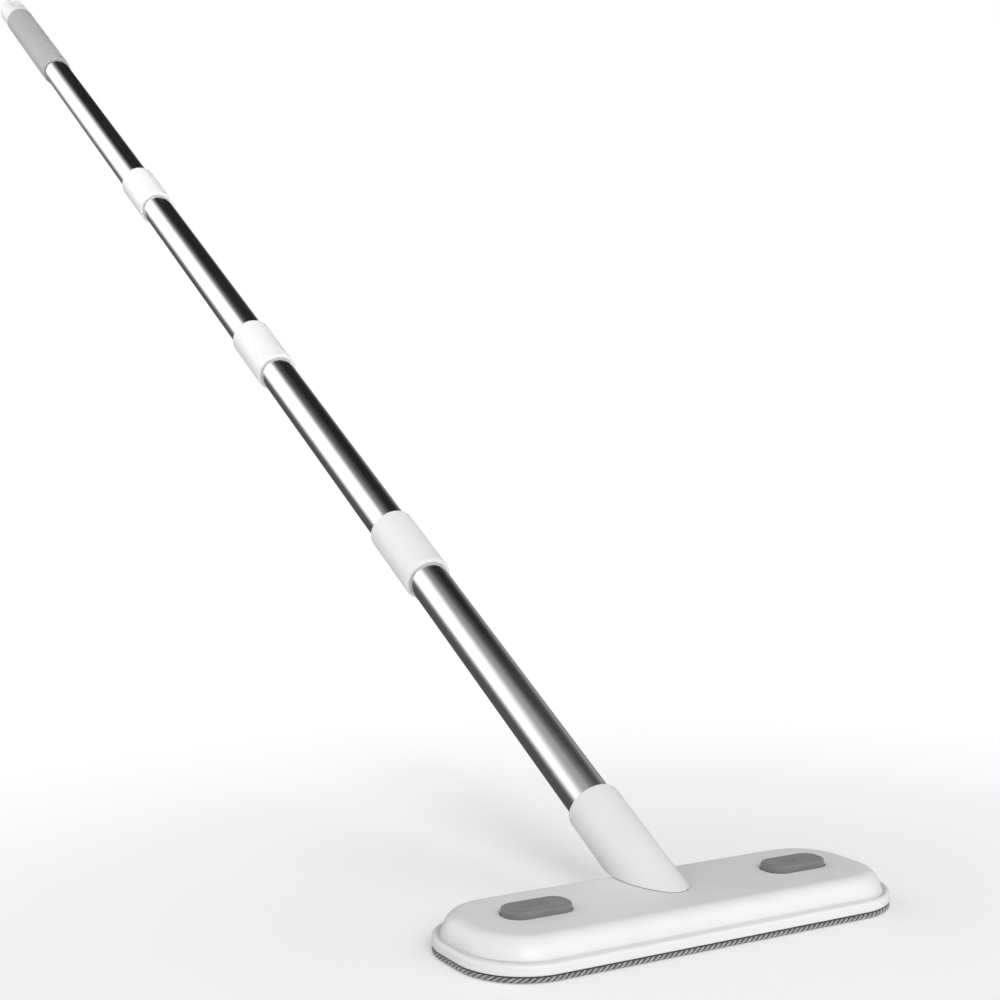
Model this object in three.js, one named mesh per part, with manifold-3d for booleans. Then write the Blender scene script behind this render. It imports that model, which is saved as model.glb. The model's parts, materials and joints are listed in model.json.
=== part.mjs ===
// Flat mop with a four-section steel pole: millimetres, +Z up.
// The origin is on the floor under the middle of the head; +X runs along the head
// and the pole leans back over +Y.
import * as THREE from 'three';
import { mergeVertices } from 'three/addons/utils/BufferGeometryUtils.js';
import Module from 'manifold-3d';

const wasm = await Module();
wasm.setup();

// Driving dimensions ------------------------------------------------------------
const HEAD_HALF_LENGTH = 120.5;
const HEAD_HALF_WIDTH = 41;
const HEAD_CORNER = 33;
const GAP = 0.3; // running or seating gap between neighbouring pieces
const SINK = 1; // how far joined solids sink into each other, and cutting tools run past
const WELD = 1e-4; // corners closer than this are one
const ARC_SEGMENTS = 4; // half the segments in each rounded corner of the head
const ROUND_SEGMENTS = 32; // segments round the pole pieces
const SMALL_SEGMENTS = 20;
const TINY_SEGMENTS = 12;

const PAD_HEIGHT = 2.6; // pile and binding under the lip
const BINDING_WIDTH = 6;
const BINDING_ROUND = 0.9;
const BACKING_THICKNESS = 0.7;
const HOOK_THICKNESS = 0.7;
const HOOK_LENGTH = 190;
const HOOK_WIDTH = 11;
const HOOK_SPACING = 23;

const LIP_BOTTOM = 2.9;
const LIP_TOP = 8.2;
const LIP_ROUND = 1.9;
const PLATE_FLOOR_BOTTOM = 5;
const PLATE_FLOOR_TOP = 6.6;
const PLATE_RIM = 6.5; // width of the plate's full-height rim

const COVER_BOTTOM = 8.5;
const COVER_TOP = 18;
const COVER_WALL = 2.2;
const DOME_INSET = 12.6; // from the head's outline to the flat of the top
const DOME_SPREAD = 9.3; // the dome's side is part of an ellipse of this half width
const DOME_RISE = 14.3; // and this half height
const DOME_STEPS = 7;

const CHASSIS_BOTTOM = 8.4;
const CHASSIS_TOP = 9.9;
const CHASSIS_INSET = 6.9;

const BUTTON_X = 75;
const BUTTON_HALF_LENGTH = 17.3;
const BUTTON_HALF_WIDTH = 8.5;
const BUTTON_CORNER = 7.5;
const BUTTON_RISE = 3.5; // above the flat of the cover
const BUTTON_EDGE = 1.3;
const BUTTON_MARGIN = 0.4; // running gap round each button
const BUTTON_STEPS = 3;
const DISH_DEPTH = 0.5;
const DISH_RADIUS = 60;
const DISH_STRETCH = 2.2; // the dish is that much longer than wide
const FLANGE_BOTTOM = 14.2;
const FLANGE_TOP = 15.5;
const FLANGE_WIDTH = 1.8;
const SPRING_POCKET_RADIUS = 5.6;
const SPRING_POCKET_TOP = 19.2;
const SPRING_POST_RADIUS = 2;
const SPRING_SEAT_RADIUS = 2.5;
const SPRING_SEAT_RISE = 1.4;
const SPRING_RADIUS = 3.2;
const SPRING_WIRE = 0.4;
const SPRING_TURNS = 4;
const STEPS_PER_TURN = 12;

const BLADE_X = 84; // inner face of the button's sloping blade at the flange
const BLADE_THICKNESS = 3;
const BLADE_HALF_WIDTH = 2.5;
const BLADE_BOTTOM = 10.5;
const BLADE_SLOT = { start: 84, end: 93, halfWidth: 3.2 };
const LATCH_TOP = 11.7;
const LATCH_HALF_WIDTH = 5;
const LATCH_PLAY = 0.4;
const LATCH_INNER_X = 81;
const LATCH_SHOULDER_X = 97;
const LATCH_TIP_X = 103.6;
const NOSE_HALF_WIDTH = 3.6;
const WINDOW_PLAY = 0.45; // between the blade and the latch's window, along the latch
const GUIDE_START_X = 81;
const GUIDE_END_X = 99;
const GUIDE_HALF_WIDTH = 7;
const GUIDE_LIP_X = 95.5;
const GUIDE_TOP = 12.9;
const HOOK_TIP_X = 101.7;
const POST_INNER_X = 104;
const POST_OUTER_X = 107;
const POST_TOP = 13.7;
const POST_HALF_WIDTH = 4;
const POST_SLOT = { start: 101, end: 107.6, halfWidth: 4.6 };

const SCREW_PLACES = [[-100, -18], [0, -22], [100, -18], [-100, 18], [0, 22], [100, 18]];
const SCREW_SHANK = 1.3;
const SCREW_TIP = 14.4;
const SCREW_HEAD = 2.8;
const SCREW_HEAD_HEIGHT = 1.1;
const SCREW_SLOT = { halfLength: 2, halfWidth: 0.35, depth: 0.5 };
const SCREW_BOSS = 3.6;
const SCREW_BORE = 1.6;
const SCREW_BORE_TOP = 15;
const SCREW_CLEARANCE = 1.7;

const SPIGOT_RADIUS = 8;
const SPIGOT_BOTTOM = 14.1;
const SWIVEL_BOSS_BOTTOM = 15;
const RETAINER_RADIUS = 11.5;
const RETAINER_BOTTOM = 12.2;
const RETAINER_TOP = 13.8;
const RETAINER_HOLE = 1.9;
const SWIVEL_SCREW_HEAD = 3.4;
const SWIVEL_SCREW_HEAD_HEIGHT = 1.3;
const SWIVEL_SCREW_SHANK = 1.5;
const SWIVEL_SCREW_TIP = 19.3;
const SWIVEL_SCREW_BORE = 1.8;
const SWIVEL_SCREW_BORE_TOP = 19.6;
const SWIVEL_SCREW_SLOT = { halfLength: 2.4, halfWidth: 0.4, depth: 0.7 };

const POLE_RISE = THREE.MathUtils.degToRad(29); // angle of the pole above the floor
const FOOT_Y = 20.3; // where the pole's axis meets the flat of the cover
const TUBE_RADIUS = 12;
const TUBE_WALL = 0.8;
const SOCKET_RADIUS = 14.6;
const SOCKET_TOP = 54; // along the pole, like every length below
const SOCKET_ROUND = 2.2;
const SOCKET_SEGMENTS = 56;
const SOCKET_BORE_BOTTOM = 30;
const COLLAR_RADIUS = 14.4;
const COLLAR_LENGTH = 56;
const COLLAR_STARTS = [260, 524, 818];
const COLLAR_SLEEVE = 17; // depth of the tube in each end of a collar
const COLLAR_LOW_ROUND = 1.5;
const COLLAR_HIGH_ROUND = 1.9;
const THREAD_RADIUS = 8.6;
const THREAD_DEPTH = 0.8;
const THREAD_TURNS = 4;
const THREAD_PITCH = 4.2;
const THREAD_FLANK = 0.7; // along the plug, on each side of a thread's crest
const THREAD_CREST = 0.4;
const PLUG_DEPTH = 30;
const PLUG_FLANGE = 1.2;
const PLUG_CHAMFER = 1;
const GRIP_START = 1157;
const GRIP_END = 1313;
const GRIP_RADIUS = 13.7;
const GRIP_ROUND = 0.9;
const CAP_RADIUS = 13.2;
const CAP_EDGE = 0.8;
const CAP_PLUG_DEPTH = 24;
const CAP_STEPS = 6;
const CAP_END = 1358;
const HANG_HOLE_HALF_WIDTH = 6.5;
const HANG_HOLE_START = 1319;
const HANG_HOLE_END = 1344;

// Materials ----------------------------------------------------------------------
const finish = (color, roughness, metalness) => () =>
  new THREE.MeshStandardMaterial({ color, roughness, metalness });
const whitePlastic = finish(0xf1f1f0, 0.35, 0);
const greyPad = finish(0x8d8d8d, 0.6, 0);
const greyGrip = finish(0xbdbdbd, 0.55, 0);
const blackPlastic = finish(0x3a3a3c, 0.5, 0);
const brushedTube = finish(0xc9cacc, 0.25, 1);
const zincSteel = finish(0xb4b7ba, 0.35, 1);
const darkCloth = finish(0x4c4c50, 0.95, 0);
const paleCloth = finish(0xc4bdb2, 0.95, 0);
const hookTape = finish(0x303033, 0.9, 0);

// Solids -------------------------------------------------------------------------
function toSolid(geometry) {
  const bare = geometry.clone();
  bare.deleteAttribute('normal');
  bare.deleteAttribute('uv');
  const merged = mergeVertices(bare, WELD);
  return new wasm.Manifold(new wasm.Mesh({
    numProp: 3,
    vertProperties: new Float32Array(merged.attributes.position.array),
    triVerts: new Uint32Array(merged.index.array),
  }));
}

function toGeometry(solid) {
  const { vertProperties, triVerts } = solid.getMesh();
  const geometry = new THREE.BufferGeometry();
  geometry.setAttribute('position', new THREE.BufferAttribute(vertProperties, 3));
  geometry.setIndex(new THREE.BufferAttribute(triVerts, 1));
  geometry.computeVertexNormals();
  return geometry;
}

function addPiece(parent, name, solid, material) {
  const mesh = new THREE.Mesh(toGeometry(solid), material());
  mesh.name = name;
  parent.add(mesh);
  return mesh;
}

const joinAll = (solids) => solids.reduce((whole, solid) => whole.add(solid));
const cutAll = (solid, tools) => tools.reduce((rest, tool) => rest.subtract(tool), solid);

// A block between two values of x, of y and of z, each pair in either order.
function box(...sides) {
  const sizes = sides.map(([start, end]) => Math.abs(end - start));
  const middles = sides.map(([start, end]) => (start + end) / 2);
  return toSolid(new THREE.BoxGeometry(...sizes).translate(...middles));
}

function disc(radius, bottom, top, x = 0, y = 0, segments = ROUND_SEGMENTS) {
  const geometry = new THREE.CylinderGeometry(radius, radius, top - bottom, segments);
  geometry.rotateX(Math.PI / 2);
  geometry.translate(x, y, (bottom + top) / 2);
  return toSolid(geometry);
}

function roundedOutline(halfX, halfY, corner) {
  const shape = new THREE.Shape();
  shape.absarc(halfX - corner, halfY - corner, corner, 0, Math.PI / 2);
  shape.absarc(corner - halfX, halfY - corner, corner, Math.PI / 2, Math.PI);
  shape.absarc(corner - halfX, corner - halfY, corner, Math.PI, Math.PI * 1.5);
  shape.absarc(halfX - corner, corner - halfY, corner, Math.PI * 1.5, Math.PI * 2);
  return shape;
}

// The head's outline moved inwards by inset.
function headOutline(inset) {
  return roundedOutline(HEAD_HALF_LENGTH - inset, HEAD_HALF_WIDTH - inset, HEAD_CORNER - inset);
}

function slab(outline, bottom, top, segments = ARC_SEGMENTS) {
  const geometry = new THREE.ExtrudeGeometry(outline, {
    depth: top - bottom,
    bevelEnabled: false,
    curveSegments: segments,
  });
  geometry.translate(0, 0, bottom);
  return toSolid(geometry);
}

// A slab whose upper edge curves down and out from the outline, as a quarter of an ellipse
// spread wide and rise high, cut off at the bottom.
function roundTopSlab(outline, bottom, top, spread, rise, steps) {
  const wall = Math.max(top - rise - bottom, SINK);
  const geometry = new THREE.ExtrudeGeometry(outline, {
    depth: wall,
    bevelThickness: rise,
    bevelSize: spread,
    bevelSegments: steps,
    curveSegments: ARC_SEGMENTS,
  });
  geometry.translate(0, 0, top - rise - wall);
  const reach = HEAD_HALF_LENGTH * 2;
  return toSolid(geometry).subtract(box([-reach, reach], [-reach, reach], [bottom - reach, bottom]));
}

function wedge(points, halfWidth) {
  const outline = new THREE.Shape(points.map(([x, z]) => new THREE.Vector2(x, z)));
  const geometry = new THREE.ExtrudeGeometry(outline, { depth: halfWidth * 2, bevelEnabled: false });
  geometry.rotateX(Math.PI / 2);
  geometry.translate(0, halfWidth, 0);
  return toSolid(geometry);
}

function lathe(profile, segments = ROUND_SEGMENTS) {
  const points = profile.map(([radius, along]) => new THREE.Vector2(radius, along));
  const geometry = new THREE.LatheGeometry(points, segments);
  geometry.rotateX(Math.PI / 2);
  return toSolid(geometry);
}

// A quarter round about a centre given as radius and place along the axis.
function quarterRound([radius, along], round, from, steps) {
  return Array.from({ length: steps + 1 }, (_, step) => {
    const angle = from + (step * Math.PI) / (2 * steps);
    return [radius + round * Math.cos(angle), along + round * Math.sin(angle)];
  });
}

// A hollow round piece: the wall between two radii with rounded outer edges.
function ring(inner, outer, start, end, startRound, endRound) {
  return lathe([
    [inner, start],
    ...quarterRound([outer - startRound, start + startRound], startRound, -Math.PI / 2, 3),
    ...quarterRound([outer - endRound, end - endRound], endRound, 0, 3),
    [inner, end],
    [inner, start],
  ]);
}

// Head ---------------------------------------------------------------------------
function topCover() {
  const flat = headOutline(DOME_INSET);
  const outside = roundTopSlab(flat, COVER_BOTTOM, COVER_TOP, DOME_SPREAD, DOME_RISE, DOME_STEPS);
  const ceiling = COVER_TOP - COVER_WALL;
  const inside = roundTopSlab(
    flat,
    COVER_BOTTOM - SINK,
    ceiling,
    DOME_SPREAD - COVER_WALL,
    DOME_RISE - COVER_WALL,
    DOME_STEPS,
  );
  const bosses = SCREW_PLACES.map(([x, y]) =>
    disc(SCREW_BOSS, CHASSIS_TOP + GAP, ceiling + SINK, x, y, SMALL_SEGMENTS));
  const bores = SCREW_PLACES.map(([x, y]) =>
    disc(SCREW_BORE, CHASSIS_TOP, SCREW_BORE_TOP, x, y, TINY_SEGMENTS));
  const openings = [-BUTTON_X, BUTTON_X].map((x) =>
    buttonSlab(x, BUTTON_MARGIN, COVER_BOTTOM, COVER_TOP + SINK));
  const swivelBoss = disc(RETAINER_RADIUS, SWIVEL_BOSS_BOTTOM, ceiling + SINK);
  const swivelBore = disc(SPIGOT_RADIUS + GAP, COVER_BOTTOM, COVER_TOP + SINK);
  const shell = joinAll([outside.subtract(inside), ...bosses, swivelBoss]);
  return cutAll(shell, [...bores, ...openings, swivelBore]);
}

// A wall beside the latch, with a lip at its outer end that keeps the latch down.
function latchGuide(side, edge) {
  const wall = [edge * (LATCH_HALF_WIDTH + LATCH_PLAY), edge * GUIDE_HALF_WIDTH];
  const lip = [edge * NOSE_HALF_WIDTH, edge * GUIDE_HALF_WIDTH];
  return joinAll([
    box([side * GUIDE_START_X, side * GUIDE_END_X], wall, [CHASSIS_TOP - SINK, LATCH_TOP]),
    box([side * GUIDE_LIP_X, side * GUIDE_END_X], wall, [LATCH_TOP - SINK, GUIDE_TOP]),
    box([side * GUIDE_LIP_X, side * GUIDE_END_X], lip, [LATCH_TOP + GAP, GUIDE_TOP]),
  ]);
}

function chassisSlot(side, { start, end, halfWidth }) {
  const through = [CHASSIS_BOTTOM - SINK, CHASSIS_TOP + SINK];
  return box([side * start, side * end], [-halfWidth, halfWidth], through);
}

function chassisPlate() {
  const sides = [-1, 1];
  const seats = sides.map((side) => disc(
    SPRING_SEAT_RADIUS,
    CHASSIS_TOP - SINK,
    CHASSIS_TOP + SPRING_SEAT_RISE,
    side * BUTTON_X,
    0,
    SMALL_SEGMENTS,
  ));
  const guides = sides.flatMap((side) => sides.map((edge) => latchGuide(side, edge)));
  const slots = sides.flatMap((side) => [chassisSlot(side, BLADE_SLOT), chassisSlot(side, POST_SLOT)]);
  const holes = SCREW_PLACES.map(([x, y]) =>
    disc(SCREW_CLEARANCE, CHASSIS_BOTTOM - SINK, CHASSIS_TOP + SINK, x, y, TINY_SEGMENTS));
  const plate = slab(headOutline(CHASSIS_INSET), CHASSIS_BOTTOM, CHASSIS_TOP);
  return cutAll(joinAll([plate, ...seats, ...guides]), [...slots, ...holes]);
}

// A post that stands up through the chassis, hooked inwards over the latch's nose.
function hookPost(side) {
  const width = [-POST_HALF_WIDTH, POST_HALF_WIDTH];
  const outer = side * POST_OUTER_X;
  const post = box([side * POST_INNER_X, outer], width, [PLATE_FLOOR_TOP - SINK, POST_TOP]);
  return post.add(box([side * HOOK_TIP_X, outer], width, [LATCH_TOP + LATCH_PLAY, POST_TOP]));
}

function padPlate() {
  const body = roundTopSlab(headOutline(LIP_ROUND), LIP_BOTTOM, LIP_TOP, LIP_ROUND, LIP_ROUND, 3);
  const topRecess = slab(headOutline(PLATE_RIM), PLATE_FLOOR_TOP, LIP_TOP + SINK);
  const padRecess = slab(headOutline(PLATE_RIM), LIP_BOTTOM - SINK, PLATE_FLOOR_BOTTOM);
  return joinAll([cutAll(body, [topRecess, padRecess]), hookPost(-1), hookPost(1)]);
}

// A screwdriver's slot across the underside of a screw's head at (x, y).
function driverSlot({ halfLength, halfWidth, depth }, bottom, x, y) {
  const height = [bottom - SINK, bottom + depth];
  return box([x - halfLength, x + halfLength], [y - halfWidth, y + halfWidth], height);
}

function coverScrew(x, y) {
  const bottom = CHASSIS_BOTTOM - GAP - SCREW_HEAD_HEIGHT;
  const head = disc(SCREW_HEAD, bottom, CHASSIS_BOTTOM - GAP, x, y, SMALL_SEGMENTS);
  const shank = disc(SCREW_SHANK, bottom + SCREW_HEAD_HEIGHT / 2, SCREW_TIP, x, y, TINY_SEGMENTS);
  return head.add(shank).subtract(driverSlot(SCREW_SLOT, bottom, x, y));
}

// Buttons and latches --------------------------------------------------------------
function buttonOutline(margin) {
  return roundedOutline(
    BUTTON_HALF_LENGTH + margin,
    BUTTON_HALF_WIDTH + margin,
    BUTTON_CORNER + margin,
  );
}

function buttonSlab(x, margin, bottom, top) {
  return slab(buttonOutline(margin), bottom, top, BUTTON_STEPS).translate([x, 0, 0]);
}

// The blade slopes outwards on its way down, so the latch slides in as it sinks.
function bladeOutline(side, margin, bottom, top) {
  const inner = (z) => BLADE_X + FLANGE_BOTTOM - z - margin;
  const outer = (z) => inner(z) + BLADE_THICKNESS + 2 * margin;
  return [[inner(bottom), bottom], [outer(bottom), bottom], [outer(top), top], [inner(top), top]]
    .map(([x, z]) => [side * x, z]);
}

function button(side) {
  const x = side * BUTTON_X;
  const top = COVER_TOP + BUTTON_RISE;
  const edge = BUTTON_EDGE;
  const cap = roundTopSlab(buttonOutline(-edge), FLANGE_BOTTOM, top, edge, edge, BUTTON_STEPS);
  const flange = buttonSlab(0, FLANGE_WIDTH, FLANGE_BOTTOM, FLANGE_TOP);
  const pocket = disc(SPRING_POCKET_RADIUS, FLANGE_BOTTOM - SINK, SPRING_POCKET_TOP);
  const post = disc(SPRING_POST_RADIUS, FLANGE_BOTTOM, SPRING_POCKET_TOP + SINK / 2, 0, 0, SMALL_SEGMENTS);
  const dish = new THREE.SphereGeometry(DISH_RADIUS, 24, 36);
  dish.scale(DISH_STRETCH, 1, 1);
  dish.translate(0, 0, top + DISH_RADIUS - DISH_DEPTH);
  const blade = wedge(bladeOutline(side, 0, BLADE_BOTTOM, FLANGE_BOTTOM + SINK), BLADE_HALF_WIDTH);
  const dished = cap.add(flange).subtract(pocket).add(post).subtract(toSolid(dish));
  return dished.translate([x, 0, 0]).add(blade);
}

function buttonSpring(x) {
  const bottom = CHASSIS_TOP + GAP + SPRING_WIRE;
  const top = SPRING_POCKET_TOP - GAP - SPRING_WIRE;
  class Helix extends THREE.Curve {
    getPoint(t, target = new THREE.Vector3()) {
      const angle = t * SPRING_TURNS * 2 * Math.PI;
      const rise = THREE.MathUtils.lerp(bottom, top, t);
      return target.set(x + SPRING_RADIUS * Math.cos(angle), SPRING_RADIUS * Math.sin(angle), rise);
    }
  }
  const wire = new THREE.Shape().absarc(0, 0, SPRING_WIRE, 0, 2 * Math.PI);
  return toSolid(new THREE.ExtrudeGeometry(wire, {
    steps: SPRING_TURNS * STEPS_PER_TURN,
    curveSegments: 3,
    extrudePath: new Helix(),
  }));
}

function latch(side) {
  const bottom = CHASSIS_TOP + GAP;
  const height = [bottom, LATCH_TOP];
  const width = [-LATCH_HALF_WIDTH, LATCH_HALF_WIDTH];
  const slider = box([side * LATCH_INNER_X, side * LATCH_SHOULDER_X], width, height);
  const noseWidth = [-NOSE_HALF_WIDTH, NOSE_HALF_WIDTH];
  const nose = box([side * (LATCH_SHOULDER_X - SINK), side * LATCH_TIP_X], noseWidth, height);
  const outline = bladeOutline(side, WINDOW_PLAY, bottom - SINK, LATCH_TOP + SINK);
  return slider.add(nose).subtract(wedge(outline, BLADE_HALF_WIDTH + LATCH_PLAY));
}

// Pad ------------------------------------------------------------------------------
function hookStrip(y) {
  const top = PLATE_FLOOR_BOTTOM - GAP;
  return box([-HOOK_LENGTH / 2, HOOK_LENGTH / 2], [y - HOOK_WIDTH / 2, y + HOOK_WIDTH / 2],
    [top - HOOK_THICKNESS, top]);
}

function padBacking() {
  const top = PLATE_FLOOR_BOTTOM - HOOK_THICKNESS - 2 * GAP;
  return slab(headOutline(PLATE_RIM + GAP), top - BACKING_THICKNESS, top);
}

function padPile() {
  return slab(headOutline(BINDING_WIDTH + GAP), 0, PAD_HEIGHT);
}

function padBinding() {
  const outline = headOutline(BINDING_ROUND);
  const whole = roundTopSlab(outline, 0, PAD_HEIGHT - GAP, BINDING_ROUND, BINDING_ROUND, 3);
  return whole.subtract(slab(headOutline(BINDING_WIDTH), -SINK, PAD_HEIGHT + SINK));
}

// Swivel foot ------------------------------------------------------------------------
const poleTurn = Math.PI / 2 - POLE_RISE;

function alongPole(solid) {
  const degrees = THREE.MathUtils.radToDeg(poleTurn);
  return solid.rotate([-degrees, 0, 0]).translate([0, FOOT_Y, COVER_TOP]);
}

function footSocket() {
  const lowEnd = -SOCKET_RADIUS / Math.tan(POLE_RISE) - SINK;
  const shoulder = [SOCKET_RADIUS - SOCKET_ROUND, SOCKET_TOP - SOCKET_ROUND];
  const profile = [
    [0, lowEnd],
    [SOCKET_RADIUS, lowEnd],
    ...quarterRound(shoulder, SOCKET_ROUND, 0, 4),
    [0, SOCKET_TOP],
  ];
  const bore = alongPole(disc(TUBE_RADIUS + GAP, SOCKET_BORE_BOTTOM, SOCKET_TOP + SINK));
  const reach = 4 * SOCKET_TOP;
  const below = box([-reach, reach], [-reach, reach], [-reach, COVER_TOP + GAP]);
  const spigot = disc(SPIGOT_RADIUS, SPIGOT_BOTTOM, COVER_TOP + SINK);
  const screwBore = disc(
    SWIVEL_SCREW_BORE,
    SPIGOT_BOTTOM - SINK,
    SWIVEL_SCREW_BORE_TOP,
    0,
    0,
    TINY_SEGMENTS,
  );
  const body = alongPole(lathe(profile, SOCKET_SEGMENTS)).subtract(below);
  return cutAll(body.add(spigot), [bore, screwBore]);
}

function swivelWasher() {
  const whole = disc(RETAINER_RADIUS, RETAINER_TOP + GAP, SWIVEL_BOSS_BOTTOM - GAP);
  return whole.subtract(disc(SPIGOT_RADIUS + GAP, RETAINER_TOP, SWIVEL_BOSS_BOTTOM));
}

function swivelRetainer() {
  const hole = disc(RETAINER_HOLE, RETAINER_BOTTOM - SINK, RETAINER_TOP + SINK, 0, 0, TINY_SEGMENTS);
  return disc(RETAINER_RADIUS, RETAINER_BOTTOM, RETAINER_TOP).subtract(hole);
}

function swivelScrew() {
  const bottom = RETAINER_BOTTOM - GAP - SWIVEL_SCREW_HEAD_HEIGHT;
  const head = disc(SWIVEL_SCREW_HEAD, bottom, RETAINER_BOTTOM - GAP, 0, 0, SMALL_SEGMENTS);
  const shankBottom = bottom + SWIVEL_SCREW_HEAD_HEIGHT / 2;
  const shank = disc(SWIVEL_SCREW_SHANK, shankBottom, SWIVEL_SCREW_TIP, 0, 0, TINY_SEGMENTS);
  return head.add(shank).subtract(driverSlot(SWIVEL_SCREW_SLOT, bottom, 0, 0));
}

// Pole: every piece below is drawn along +Z and leaned by the pole's group -----------
function tube(start, end) {
  const inner = TUBE_RADIUS - TUBE_WALL;
  return lathe([[inner, start], [TUBE_RADIUS, start], [TUBE_RADIUS, end], [inner, end], [inner, start]]);
}

function collar(start) {
  const end = start + COLLAR_LENGTH;
  const sleeve = ring(
    TUBE_RADIUS + GAP,
    COLLAR_RADIUS,
    start,
    end,
    COLLAR_LOW_ROUND,
    COLLAR_HIGH_ROUND,
  );
  const threadedWall = ring(
    THREAD_RADIUS + THREAD_DEPTH + GAP,
    TUBE_RADIUS + SINK,
    start + COLLAR_SLEEVE + GAP + PLUG_FLANGE + GAP,
    end - COLLAR_SLEEVE,
    GAP,
    GAP,
  );
  return sleeve.add(threadedWall);
}

// The plug is pressed in the tube below, and its threads screw up into the collar.
function threadedPlug(collarStart) {
  const tubeEnd = collarStart + COLLAR_SLEEVE;
  const bottom = tubeEnd - PLUG_DEPTH;
  const inTube = TUBE_RADIUS - TUBE_WALL - GAP;
  const threadStart = tubeEnd + GAP + PLUG_FLANGE;
  const profile = [
    [0, bottom],
    [inTube - PLUG_CHAMFER, bottom],
    [inTube, bottom + PLUG_CHAMFER],
    [inTube, tubeEnd + GAP],
    [TUBE_RADIUS, tubeEnd + GAP],
    [TUBE_RADIUS, threadStart],
    [THREAD_RADIUS, threadStart],
  ];
  const crestRadius = THREAD_RADIUS + THREAD_DEPTH;
  for (let turn = 0; turn < THREAD_TURNS; turn += 1) {
    const foot = threadStart + PLUG_CHAMFER + turn * THREAD_PITCH;
    const crest = foot + THREAD_FLANK;
    profile.push([THREAD_RADIUS, foot], [crestRadius, crest]);
    profile.push([crestRadius, crest + THREAD_CREST]);
    profile.push([THREAD_RADIUS, crest + THREAD_CREST + THREAD_FLANK]);
  }
  const top = threadStart + PLUG_CHAMFER + THREAD_TURNS * THREAD_PITCH;
  profile.push([THREAD_RADIUS, top - PLUG_CHAMFER], [THREAD_RADIUS - PLUG_CHAMFER, top], [0, top]);
  return lathe(profile, SMALL_SEGMENTS);
}

function gripSleeve() {
  return ring(TUBE_RADIUS + GAP, GRIP_RADIUS, GRIP_START, GRIP_END, GRIP_ROUND, GRIP_ROUND);
}

function endCap() {
  const plugRadius = TUBE_RADIUS - TUBE_WALL - GAP;
  const start = GRIP_END + GAP;
  const plugEnd = start - CAP_PLUG_DEPTH;
  const dome = quarterRound([0, CAP_END - CAP_RADIUS], CAP_RADIUS, 0, CAP_STEPS);
  const body = lathe([
    [0, plugEnd],
    [plugRadius - CAP_EDGE, plugEnd],
    [plugRadius, plugEnd + CAP_EDGE],
    [plugRadius, start],
    [CAP_RADIUS - CAP_EDGE, start],
    [CAP_RADIUS, start + CAP_EDGE],
    ...dome.slice(0, -1),
    [0, CAP_END],
  ]);
  return body.subtract(hangHole());
}

// A slot with round ends right through the cap, across the pole.
function hangHole() {
  const half = (HANG_HOLE_END - HANG_HOLE_START) / 2;
  const outline = roundedOutline(HANG_HOLE_HALF_WIDTH, half, HANG_HOLE_HALF_WIDTH - WELD);
  const geometry = new THREE.ExtrudeGeometry(outline, {
    depth: 4 * CAP_RADIUS,
    bevelEnabled: false,
    curveSegments: 8,
  });
  geometry.rotateX(Math.PI / 2);
  geometry.translate(0, 2 * CAP_RADIUS, (HANG_HOLE_START + HANG_HOLE_END) / 2);
  return toSolid(geometry);
}

// Assembly -------------------------------------------------------------------------
function buildHead(mop) {
  addPiece(mop, 'top_cover', topCover(), whitePlastic);
  addPiece(mop, 'chassis_plate', chassisPlate(), whitePlastic);
  addPiece(mop, 'pad_plate', padPlate(), whitePlastic);
  SCREW_PLACES.forEach(([x, y], index) => {
    addPiece(mop, `cover_screw_${index + 1}`, coverScrew(x, y), zincSteel);
  });
  for (const [name, side] of [['left', -1], ['right', 1]]) {
    addPiece(mop, `button_${name}`, button(side), greyPad);
    addPiece(mop, `button_spring_${name}`, buttonSpring(side * BUTTON_X), zincSteel);
    addPiece(mop, `latch_${name}`, latch(side), blackPlastic);
  }
}

function buildPad(mop) {
  for (const [name, place] of [['front', -1], ['middle', 0], ['rear', 1]]) {
    addPiece(mop, `hook_strip_${name}`, hookStrip(place * HOOK_SPACING), hookTape);
  }
  addPiece(mop, 'pad_backing', padBacking(), darkCloth);
  addPiece(mop, 'pad_pile', padPile(), paleCloth);
  addPiece(mop, 'pad_binding', padBinding(), paleCloth);
}

function buildSwivel(mop) {
  addPiece(mop, 'foot_socket', footSocket(), whitePlastic);
  addPiece(mop, 'swivel_washer', swivelWasher(), blackPlastic);
  addPiece(mop, 'swivel_retainer', swivelRetainer(), blackPlastic);
  addPiece(mop, 'swivel_screw', swivelScrew(), zincSteel);
}

function buildPole(mop) {
  const pole = new THREE.Group();
  pole.position.set(0, FOOT_Y, COVER_TOP);
  pole.rotation.x = -poleTurn;
  mop.add(pole);
  const lowEnds = [SOCKET_BORE_BOTTOM + GAP];
  const highEnds = [];
  COLLAR_STARTS.forEach((start, index) => {
    highEnds.push(start + COLLAR_SLEEVE);
    lowEnds.push(start + COLLAR_LENGTH - COLLAR_SLEEVE + GAP);
    addPiece(pole, `collar_${index + 1}`, collar(start), whitePlastic);
    addPiece(pole, `threaded_plug_${index + 1}`, threadedPlug(start), blackPlastic);
  });
  highEnds.push(GRIP_END - SINK);
  lowEnds.forEach((low, index) => {
    addPiece(pole, `tube_${index + 1}`, tube(low, highEnds[index]), brushedTube);
  });
  addPiece(pole, 'grip_sleeve', gripSleeve(), greyGrip);
  addPiece(pole, 'end_cap', endCap(), whitePlastic);
}

const flatMop = new THREE.Group();
buildHead(flatMop);
buildPad(flatMop);
buildSwivel(flatMop);
buildPole(flatMop);

export default flatMop;
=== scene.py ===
"""Flat mop: a white domed head on a stitched pad, and a steel pole in four sections."""
import json
import math

import bmesh
import bpy
from mathutils import Matrix, Vector, noise
from mathutils.geometry import tessellate_polygon


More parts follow.
